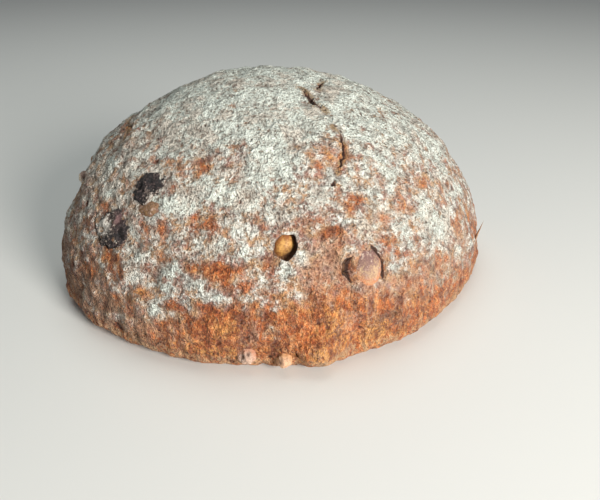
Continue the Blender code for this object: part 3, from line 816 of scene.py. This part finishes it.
def crustPaint():
    paint, look = Paint("flouredCrust"), crustLook
    flourAmount, deep, under = paint.reading("flour"), paint.reading("deep"), paint.reading("under")
    golden, dusky, veiled = paint.reading("golden"), paint.reading("dusky"), paint.reading("veiled")
    mutedPlaces, greyAndShade = paint.reading("muted"), paint.reading("greyAndShade")
    toasted = paint.reading("toasted")
    tone, stain = paint.cloud(9, 5, 0.9), paint.cloud(6, 4, 0.95, paint.spot((0.31, 0, 0)))
    dusk = paint.cloud(9, 4, 0.8, paint.spot((0, 0.57, 0)), 0.4)
    streaks = paint.cloud(4.2, 4, 0.85, paint.stretched(1, 1, 0.33))
    fibres = paint.cloud(2.8, 3, 0.8, paint.stretched(1.04, 1.04, 0.45))
    mid, fine = paint.cloud(4.5, 2, 0.8), paint.cloud(1.3, 2, 0.85, paint.spot((0, 0, 0.43)))
    clumps = paint.cloud(2.4, 2, 0.7, paint.spot((0.7, 0, 0.1)))
    pits, grains = paint.cloud(1.05, 2, 0.8, paint.spot((0.2, 0.3, 0))), paint.cloud(0.85, 2, 0.8)
    grit = paint.cloud(0.42, 1, 0.5)
    bare = 1 - flourAmount.ramp(-0.3, 0.3)

    # The bare crust
    lighter = (tone * 0.5 + streaks * 0.5 + golden * 0.1).ramp(0.465, 0.585)
    colour = paint.tint(crustColours["orange"], "golden", lighter)
    stained = (stain * 0.5 + streaks * 0.5 - golden * 0.1).ramp(0.46, 0.55)
    colour = paint.tint(colour, "russet", stained * look["stained"])
    darker = (dusk + dusky * 0.16 - bare * 0.07).ramp(0.54, 0.65)
    colour = paint.tint(colour, "dusky", darker * look["dusk"])
    colour = paint.tint(colour, "russet", flourAmount.ramp(-0.1, 0.5) * look["russetUnderFlour"])
    goldenGrains = (grains * 0.6 + grit * 0.4).ramp(0.52, 0.64)
    colour = paint.tint(colour, "golden", goldenGrains * look["goldenGrains"])
    speckled = (fine * 0.5 + pits * 0.5).ramp(0.51, 0.60)
    colour = paint.tint(colour, "russet", speckled * (0.5 - bare * 0.2))
    colour = paint.tint(colour, "russet", fibres.ramp(0.50, 0.59) * (0.35 + bare * 0.4))
    veil = (veiled + (streaks - 0.5) * 2 + (clumps - 0.5) * 1.6 + (fine - 0.5) * 1.4).ramp(0.06, 0.95)
    colour = paint.tint(colour, "veil", veil * look["veil"])
    colour = paint.tint(colour, "paleGrain", (1 - fibres).ramp(0.52, 0.62) * bare * look["paleFibres"])
    paleGrains = (clumps * 0.3 + grains * 0.7).ramp(0.53, 0.62)
    colour = paint.tint(colour, "paleGrain", paleGrains * bare * look["paleGrains"])
    # Greyer crust in places; over the dents low on the right it is painted shade
    greyAndShadeMix = (greyAndShade + (streaks - 0.5) * 2 + (fine - 0.5) * 1.2).ramp(0.1, 0.8)
    colour = paint.tint(colour, "greyAndShade", greyAndShadeMix * look["greyAndShadeMix"])

    # The thin film of flour, and the grey under the thick flour
    soft = paint.cloud(4.5, 0)
    thin = (flourAmount + (soft - 0.5) * 1.6).ramp(-0.32, 0.36)
    filmTint = paint.cloud(5, 1, 0.6, paint.spot((0.2, 0.05, 0)))
    film = paint.tint(crustColours["film"], "mauve", filmTint.ramp(0.50, 0.62) * look["mauveFilm"])
    film = paint.tint(film, "straw", (1 - filmTint).ramp(0.50, 0.62) * look["strawFilm"])
    colour = paint.mix(colour, film, thin * look["film"])
    thick = (flourAmount + (soft - 0.5)).ramp(0.25, 0.95)
    colour = paint.tint(colour, "underFlour", thick * look["underFlour"])

    # The flour itself
    midGain, clumpGain, fineGain, gritGain = look["flourGains"]
    cover = flourAmount + (mid - 0.5) * midGain + (clumps - 0.5) * clumpGain
    cover = (cover + (fine - 0.5) * fineGain + (grit - 0.5) * gritGain).ramp(*look["flourCover"])
    white = paint.tint(crustColours["flour"], "coolFlour", flourAmount.ramp(0.3, 0.85))
    muted = paint.cloud(13, 3, 0.7, paint.spot((0.11, 0.2, 0))) * 0.7 + clumps * 0.3
    muted = (muted + mutedPlaces * 0.1 - 0.01).ramp(0.49, 0.60)
    white = paint.tint(white, "mutedFlour", muted * look["muted"])
    tanned = (veiled - flourAmount * 0.7 + (clumps - 0.5) * 1.5).ramp(0.05, 0.9)
    white = paint.tint(white, "tanFlour", tanned * look["tanned"])
    flecks = (grains * 0.5 + fine * 0.5).ramp(0.50, 0.62)
    colour = paint.mix(colour, white, cover * (0.98 - flecks * (1 - cover * 0.5) * 0.45))
    dusting = (flourAmount + (mid - 0.5)).ramp(-0.45, 0.35)
    grainy = (grains * 0.7 + grit * 0.3).ramp(0.55, 0.67) * dusting
    colour = paint.mix(colour, white, grainy * look["dusting"])

    # Painted shade in pits and crevices
    # Painted shade in the pits: the colour multiplied darker where their noise is deep
    pitted = (1 - pits).ramp(0.52, 0.65) * (1 - bare * 0.4)
    pitTone = paint.tint(crustColours["pitShade"], "barePitShade", bare)
    colour = paint.mix(colour, paint.mix(colour, pitTone, 1, "MULTIPLY"), pitted)
    # Painted shade in crevices, and on bare crust in channels and the dusky places; the bump sinks there too
    recessShades = sum(
        paint.cloud(size, detail, rough, paint.spot(shift)).ramp(start, full) * strength
        for size, detail, rough, shift, start, full, strength in look["recessShades"]
    )
    channelShade = paint.cloud(5.5, 2, 0.7, paint.stretched(1.02, 0.98, 0.4))
    recessShades = recessShades + (channelShade.ramp(0.51, 0.63) * look["channelShade"] + dusky * 0.2) * bare
    colour = paint.mix(colour, paint.tint(crustColours["creviceShade"], "bareCreviceShade", bare), recessShades)

    # The foot, the splits and the underside
    foot = (1 - paint.reading("low").ramp(0.0, 1.6)) * (streaks * 0.5 + fine * 0.5).ramp(0.44, 0.56)
    colour = paint.tint(colour, "footDust", foot * look["footDust"])
    rim = (toasted + (clumps - 0.5) * 2.4 + (fine - 0.5)).ramp(0.35, 1.0)
    colour = paint.tint(colour, "toastedRim", rim * look["toastedRim"])
    # Colours by depth in splits and hollows; the near-black one is painted shade
    for name, start, full, strength in look["inSplits"]:
        colour = paint.tint(colour, name, deep.ramp(start, full) * strength)
    colour = paint.tint(colour, "orange", under)

    height = fine * 0.5 + pits * 0.9 + stain * 0.8 + grains * 0.3 + grit * 0.15 + cover * 0.15 + clumps * 0.7
    normal = paint.bump(height + fibres * 0.5 - recessShades * 0.8, *look["relief"])
    paint.finish(Specular_IOR_Level=0.2, Sheen_Weight=0.08, Sheen_Roughness=0.5)
    plain, more = look["roughness"]
    return paint.finish(Base_Color=colour, Roughness=plain + cover * more, Normal=normal)


bakeLayout = {
    "lowest": 96,  # degrees from the crown down to the foot
    "radius": 0.44, "middle": (0.45, 0.45),
    "baseRadius": 0.1, "baseMiddle": (0.89, 0.89),
    "baseFaces": (-0.9, 0.3),  # a face of the base looks down more than this, and its corners lie lower
}


def bakeMap(mesh):
    # The crust laid out as one disc round the crown, with the base as a small disc beside it
    points, lowest = ownPoints(mesh), math.radians(bakeLayout["lowest"])
    bearing, rise = placeOf(points)
    fromCrown = np.clip(math.pi / 2 - rise, 0, lowest)
    radius = bakeLayout["radius"] * np.sin(fromCrown / 2) / math.sin(lowest / 2)
    crust = np.stack([np.sin(bearing), -np.cos(bearing)], -1) * radius[:, None] + bakeLayout["middle"]
    base = points[:, :2] / loaf["width"] * 2 * bakeLayout["baseRadius"] + bakeLayout["baseMiddle"]
    loops, sizes = np.empty(len(mesh.loops), np.int32), np.empty(len(mesh.polygons), np.int32)
    normals = np.empty(len(mesh.polygons) * 3, np.float32)
    mesh.loops.foreach_get("vertex_index", loops)
    mesh.polygons.foreach_get("loop_total", sizes)
    mesh.polygons.foreach_get("normal", normals)
    facing, lower = bakeLayout["baseFaces"]
    flat = np.repeat(normals[2::3] < facing, sizes) & (points[loops, 2] < lower)
    spots = np.where(flat[:, None], base[loops], crust[loops])
    layer = mesh.uv_layers.new(name="OFBake")
    layer.data.foreach_set("uv", spots.astype(np.float32).ravel())


bakeMap(crustPiece.data)

print("paint of the crust")
crustPiece.data.materials.clear()
crustPiece.data.materials.append(crustPaint())
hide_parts("loaf")
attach(crustPiece, "root")


def nutPaint(name, light, dark, shine):
    # A bare nut in its hollow, browned towards the rim and in the shade on one side
    paint = Paint(name)
    patches, fine = paint.cloud(2.6, 3, 0.75), paint.cloud(0.6, 2, 0.8)
    edge, shade = paint.reading("edge"), paint.reading("shade")
    colour = paint.mix(light, dark, (patches * 0.6 + fine * 0.4).ramp(0.44, 0.62))
    colour = paint.tint(colour, "russet", (edge + (patches - 0.5)).ramp(0.45, 1.0) * 0.65)
    # Painted shadow on the side of the nut that the hollow's rim shades
    colour = paint.tint(colour, "burntAndShade", (shade + (patches - 0.5) * 0.6).ramp(0.1, 0.7) * 0.85)
    normal = paint.bump(patches * 0.9 + fine * 0.5, 0.7, 0.4)
    return paint.finish(Base_Color=colour, Roughness=shine + fine * 0.2, Normal=normal)


def coatedPaint(name, light, dark, dusted, rimTone="orange", floured=0.8, shaded=0.8):
    # A nut under a thin skin of dough, which meets the crust at its edge, with flour caught on its upper side
    paint = Paint(name)
    patches, speck, grit = paint.cloud(3.2, 4, 0.8), paint.cloud(0.9, 2, 0.8), paint.cloud(0.42, 1)
    up, edge = paint.reading("up"), paint.reading("edge")
    colour = paint.mix(light, dark, (patches * 0.6 + speck * 0.4).ramp(0.46, 0.6))
    rim = (edge + (patches - 0.5) * 1.2 + (speck - 0.5) * 0.8).ramp(0.6, 1.1)
    colour = paint.tint(colour, rimTone, rim * 0.6)
    # Painted shade: the upper side darkened with the dusky tone, as strong as shaded
    upper = (up + (patches - 0.5) * 2.4 + (speck - 0.5) * 1.5).ramp(-0.5, 0.2)
    colour = paint.tint(colour, "dusky", upper * shaded)
    colour = paint.tint(colour, "film", (patches * 0.4 + speck * 0.6).ramp(0.52, 0.64) * upper * 0.6)
    colour = paint.tint(colour, "burntAndShade", (grit * 0.5 + speck * 0.5).ramp(0.58, 0.7) * 0.35)
    # Painted shade in the pits, from the shade values
    colour = paint.tint(colour, "burntAndShade", paint.reading("shade") * 0.85)
    cover = up * dusted + edge * 0.25 + (patches - 0.5) * 4 + (speck - 0.5) * 2 + (grit - 0.5)
    cover = cover.ramp(0.45, 1.1)
    colour = paint.tint(colour, "flour", cover * floured)
    normal = paint.bump(patches * 1.2 + speck * 0.7 + grit * 0.15, 0.9, 1.0)
    return paint.finish(Base_Color=colour, Roughness=0.6 + cover * 0.3, Normal=normal)


raisinColours = {
    # folds: painted shade in the skin's folds; ridges: the skin on its ridges; thinSkin: its wine-coloured
    # end
    "folds": (0.010, 0.008, 0.009),
    "ridges": (0.055, 0.034, 0.036),
    "thinSkin": (0.21, 0.115, 0.115),
}


def raisinPaint(name, dusted):
    # A wrinkled, nearly black skin, thin and wine-coloured at one end, with flour in its folds
    paint = Paint(name)
    folds, speck, grit = paint.cloud(2.2, 4, 0.8, twist=0.8), paint.cloud(0.9, 2, 0.8), paint.cloud(0.4, 1)
    # Painted shade in the folds: darker where the bump is low, lighter on the ridges
    ridged = (folds * 0.6 + speck * 0.4).ramp(0.45, 0.6)
    colour = paint.mix(raisinColours["folds"], raisinColours["ridges"], ridged)
    dust = paint.reading("dust") * dusted + (folds - 0.5) * 3 + (speck - 0.5) * 2.6 + (grit - 0.5) * 1.2
    colour = paint.mix(colour, raisinColours["thinSkin"], paint.reading("shade"))
    colour = paint.tint(colour, "film", dust.ramp(0.4, 0.95) * 0.35)
    cover = dust.ramp(0.6, 1.2)
    colour = paint.tint(colour, "flour", cover * 0.6)
    normal = paint.bump(folds * 1.2 + speck * 0.7 + grit * 0.2, 1.0, 1.0)
    return paint.finish(Base_Color=colour, Roughness=0.55 + cover * 0.4, Normal=normal)


# light and dark: the two tones of the skin; dusted: how much more flour lies on the upper side; rimTone: the
# crust's colour at the edge; floured and shaded: how strong the flour and the painted shade on the upper side
# are
finishes = {
    "hazelnut": dict(
        paint=nutPaint, name="toastedHazelnut", light=(0.60, 0.325, 0.095), dark=(0.33, 0.15, 0.038),
        shine=0.45,
    ),
    "coatedNut": dict(
        paint=coatedPaint, name="doughCoatedNut", light=(0.50, 0.335, 0.205), dark=(0.29, 0.165, 0.105),
        dusted=0, floured=0.25, shaded=1.0,
    ),
    "brownNut": dict(
        paint=coatedPaint, name="brownNut", light=(0.25, 0.138, 0.055), dark=(0.125, 0.066, 0.028),
        dusted=0, rimTone="dusky", floured=0.15, shaded=0.3,
    ),
    "baseNut": dict(
        paint=coatedPaint, name="paleBaseNut", light=(0.66, 0.46, 0.35), dark=(0.38, 0.235, 0.17),
        dusted=-0.3, floured=0.5, shaded=0.25,
    ),
    "peachNut": dict(
        paint=coatedPaint, name="peachBaseNut", light=(0.76, 0.46, 0.28), dark=(0.52, 0.28, 0.15),
        dusted=-0.3, rimTone="golden", floured=0.3, shaded=0.2,
    ),
    "sideNut": dict(
        paint=coatedPaint, name="sideNut", light=(0.62, 0.54, 0.42), dark=(0.34, 0.25, 0.17),
        dusted=-0.3, rimTone="film",
    ),
    "raisin": dict(paint=raisinPaint, name="raisinSkin", dusted=0.8),
    "flouredRaisin": dict(paint=raisinPaint, name="flouredRaisinSkin", dusted=1.0),
    "sliver": dict(
        paint=coatedPaint, name="sliverCrust", light=(0.56, 0.36, 0.22), dark=(0.34, 0.16, 0.08),
        dusted=0.4, rimTone="film", floured=0.8, shaded=0.3,
    ),
}
made = {}


def finishOf(kind):
    # The material of a kind of piece, made the first time it is wanted
    if kind not in made:
        settings = dict(finishes[kind])
        made[kind] = settings.pop("paint")(**settings)
    return made[kind]


# Lumps of a piece are given as how many there are to its half size, and their height as a share of it. Blots
# of flour or shade have a place across and upwards, a spread and a strength.
pieceMaking = {
    "detail": 5,
    "apart": 7.3,  # how far the pieces' own noises lie from each other
    "raisinFolds": (2.6, 0.52),
    "raisinCreases": (5, 0.09),
    "nutDimple": (1.3, 0.025),
    "nutGrain": (5, 0.012),
    "crumbly": (2.4, 0.12),
    "crumblyKinds": ("baseNut", "peachNut", "brownNut", "sideNut"),
    "hollowShade": (0.9, 0.55),  # how fast the shade grows across and downwards
    "raisinDust": (0.6, -0.25, 0.12, 1.1),
    "raisinRimDust": (0.72, 1.6),
    "flouredRaisinDust": (-0.3, 0.15, 0.36, 1.5),
    "thinSkin": (0.45, 0.4, 0.08, 0.8),
}


def lumps(points, kind, octaves=1, seed=0):
    many, tall = pieceMaking[kind]
    return tall * grain(points * many, 1, octaves, seed)


def blot(x, y, across, upwards, spread, strength=1):
    return strength * np.exp(-((x - across) ** 2 + (y - upwards) ** 2) / spread)


def bakedPiece(name, spec, seed):
    points, faces = ball(pieceMaking["detail"])
    kind, thick = spec["kind"], spec["half"][2]
    isRaisin = kind in ("raisin", "flouredRaisin")
    x, y, z = points.T
    shifted = points + [seed * pieceMaking["apart"], 0, 0]
    if isRaisin:
        shape = 1 - np.abs(lumps(shifted, "raisinFolds")) - np.abs(lumps(shifted, "raisinCreases", 2, 4))
    else:
        many, deep = pieceMaking["nutDimple"]
        shape = 1 - deep * (grain(shifted * many, 1) + 1) - lumps(shifted, "nutGrain", 2, 4)
    if kind in pieceMaking["crumblyKinds"]:
        shape += lumps(shifted, "crumbly", 2, 5)
    shade, dust = np.zeros(len(points)), np.zeros(len(points))
    # Pits dent the piece; their shade values carry painted shade into them
    for across, upwards, size, depth in spec.get("pits", ()):
        pit = blot(x, y, across, upwards, size**2) * (z > 0)
        shape -= depth * pit
        shade = np.maximum(shade, pit)
    slim = (1 - spec["tip"] * np.maximum(y[:, None], 0)) * [1, 0, 1] + [0, 1, 0]
    own = points * shape[:, None] * spec["half"] * slim + [*spec["shift"], -spec["sunk"]]
    piece = pieceFrom(name + "Piece", setInCrust(own, spec), faces, finishOf(kind))
    if "hole" in spec:
        across, down = own[:, 0] / spec["hole"][0], own[:, 1] / spec["hole"][1]
        edge = np.hypot(across, down)
        acrossShade, downShade = pieceMaking["hollowShade"]
        # Painted shadow in the hollow, darker across to one side and downwards
        shade = np.clip(across * acrossShade - down * downShade, 0, 1)
    else:
        edge = np.hypot(x, y) / math.sqrt(1 - (spec["sunk"] / thick) ** 2)
    if kind == "raisin":
        rim, gain = pieceMaking["raisinRimDust"]
        dust = blot(x, y, *pieceMaking["raisinDust"]) + np.clip(edge - rim, 0, 1) * gain
    elif isRaisin:
        dust = blot(x, y, *pieceMaking["flouredRaisinDust"])
        shade = blot(x, y, *pieceMaking["thinSkin"])
    for label, values in {"up": y, "edge": edge, "shade": shade, "dust": dust}.items():
        addAttribute(piece.data, label, values)
    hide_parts(name)
    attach(piece, "root")


print("nuts and raisins")
for seed, (name, spec) in enumerate(bakedIn.items()):
    bakedPiece(name, spec, seed)

print("sliver")
sliver = {
    "at": (80, 5),
    "length": 13,
    "half": (1.9, 0.8),  # half its width and its thickness at the root
    "stands": 3.4,  # how far the tip stands out of the crust
    "root": 1.6,  # how deep the root lies in it
    "sway": (3, 0.8),  # bends along it, and how far they go
    "uneven": (9, 0.25),  # lumps along it, and their share of its width
    "steps": 14,
    "sides": 8,
}


def sliverPiece():
    root = crustPoint(*sliver["at"])
    across, up, out = axesAt(root)
    steps, sides = sliver["steps"], sliver["sides"]
    (bends, sway), (many, uneven) = sliver["sway"], sliver["uneven"]
    points, faces = [], []
    for step in range(steps):
        share = step / steps
        stands = sliver["stands"] * share - sliver["root"] * (1 - share)
        middle = root + up * sliver["length"] * share + out * stands
        middle += across * noise.noise((share * bends, 1, 2)) * sway
        for side in range(sides):
            turn = 2 * math.pi * side / sides
            swell = 1 + uneven * noise.noise((share * many, side, 0))
            wide, thick = (half * (1 - share) * swell for half in sliver["half"])
            points.append(middle + across * wide * math.cos(turn) + out * thick * math.sin(turn))
    points.append(root + up * sliver["length"] + out * sliver["stands"])
    for step in range(steps - 1):
        a = step * sides
        for k in range(sides):
            following = (k + 1) % sides
            faces.append([a + k, a + following, a + sides + following, a + sides + k])
    a = (steps - 1) * sides
    faces += [[a + k, a + (k + 1) % sides, len(points) - 1] for k in range(sides)]
    faces.append(list(range(sides))[::-1])
    piece = pieceFrom("crustSliver", points, faces, finishOf("sliver"))
    for label in ("up", "edge", "shade"):
        addAttribute(piece.data, label, np.zeros(len(points)))
    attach(piece, "root")


sliverPiece()

print("floor, lights and camera")
studio = {
    "floor": (0.72, 0.72, 0.71),
    "floorReach": 3,
    "world": (0.93, 0.97, 1.0, 0.155),  # colour and strength
    "aim": (0, 0, 0.04),  # where the lamps point
    "key": dict(at=(0.52, -0.79, 0.39), size=0.36, watts=14.7, colour=(1, 0.965, 0.90)),
    "top": dict(at=(-0.05, 0.24, 1.25), size=1.0, watts=6.0, colour=(0.93, 1.0, 0.95)),
    "camera": dict(at=(-0.26, -278.98, 158.6), pitch=28.83, yaw=2.51, lens=36, sensor=36, nearest=0.01),
}


def floorPiece():
    mesh, reach = bpy.data.meshes.new("floor"), studio["floorReach"]
    corners = [(-reach, -reach, 0), (reach, -reach, 0), (reach, reach, 0), (-reach, reach, 0)]
    mesh.from_pydata(corners, [], [(0, 1, 2, 3)])
    floor = bpy.data.objects.new("floor", mesh)
    bpy.context.scene.collection.objects.link(floor)
    paint = Paint("paleFloor")
    mesh.materials.append(paint.finish(Base_Color=studio["floor"], Roughness=0.7))


def areaLight(name, spec):
    light = bpy.data.lights.new(name, "AREA")
    light.shape, light.size, light.energy, light.color = "DISK", spec["size"], spec["watts"], spec["colour"]
    lamp = bpy.data.objects.new(name, light)
    lamp.location = spec["at"]
    lamp.rotation_euler = (Vector(studio["aim"]) - Vector(spec["at"])).to_track_quat("-Z", "Y").to_euler()
    bpy.context.scene.collection.objects.link(lamp)


def studioCamera():
    spec = studio["camera"]
    lens = bpy.data.cameras.new("camera")
    lens.lens, lens.sensor_width, lens.clip_start = spec["lens"], spec["sensor"], spec["nearest"]
    camera = bpy.data.objects.new("camera", lens)
    camera.location = Vector(spec["at"]) * mm
    camera.rotation_euler = (math.radians(90 - spec["pitch"]), 0, -math.radians(spec["yaw"]))
    bpy.context.scene.collection.objects.link(camera)
    bpy.context.scene.camera = camera


floorPiece()
areaLight("key", studio["key"])
areaLight("top", studio["top"])
studioCamera()
scene = bpy.context.scene
scene.world = scene.world or bpy.data.worlds.new("world")
scene.world.use_nodes = True
backdrop = scene.world.node_tree.nodes["Background"]
backdrop.inputs["Color"].default_value = (*studio["world"][:3], 1)
backdrop.inputs["Strength"].default_value = studio["world"][3]
scene.view_settings.view_transform = "Standard"
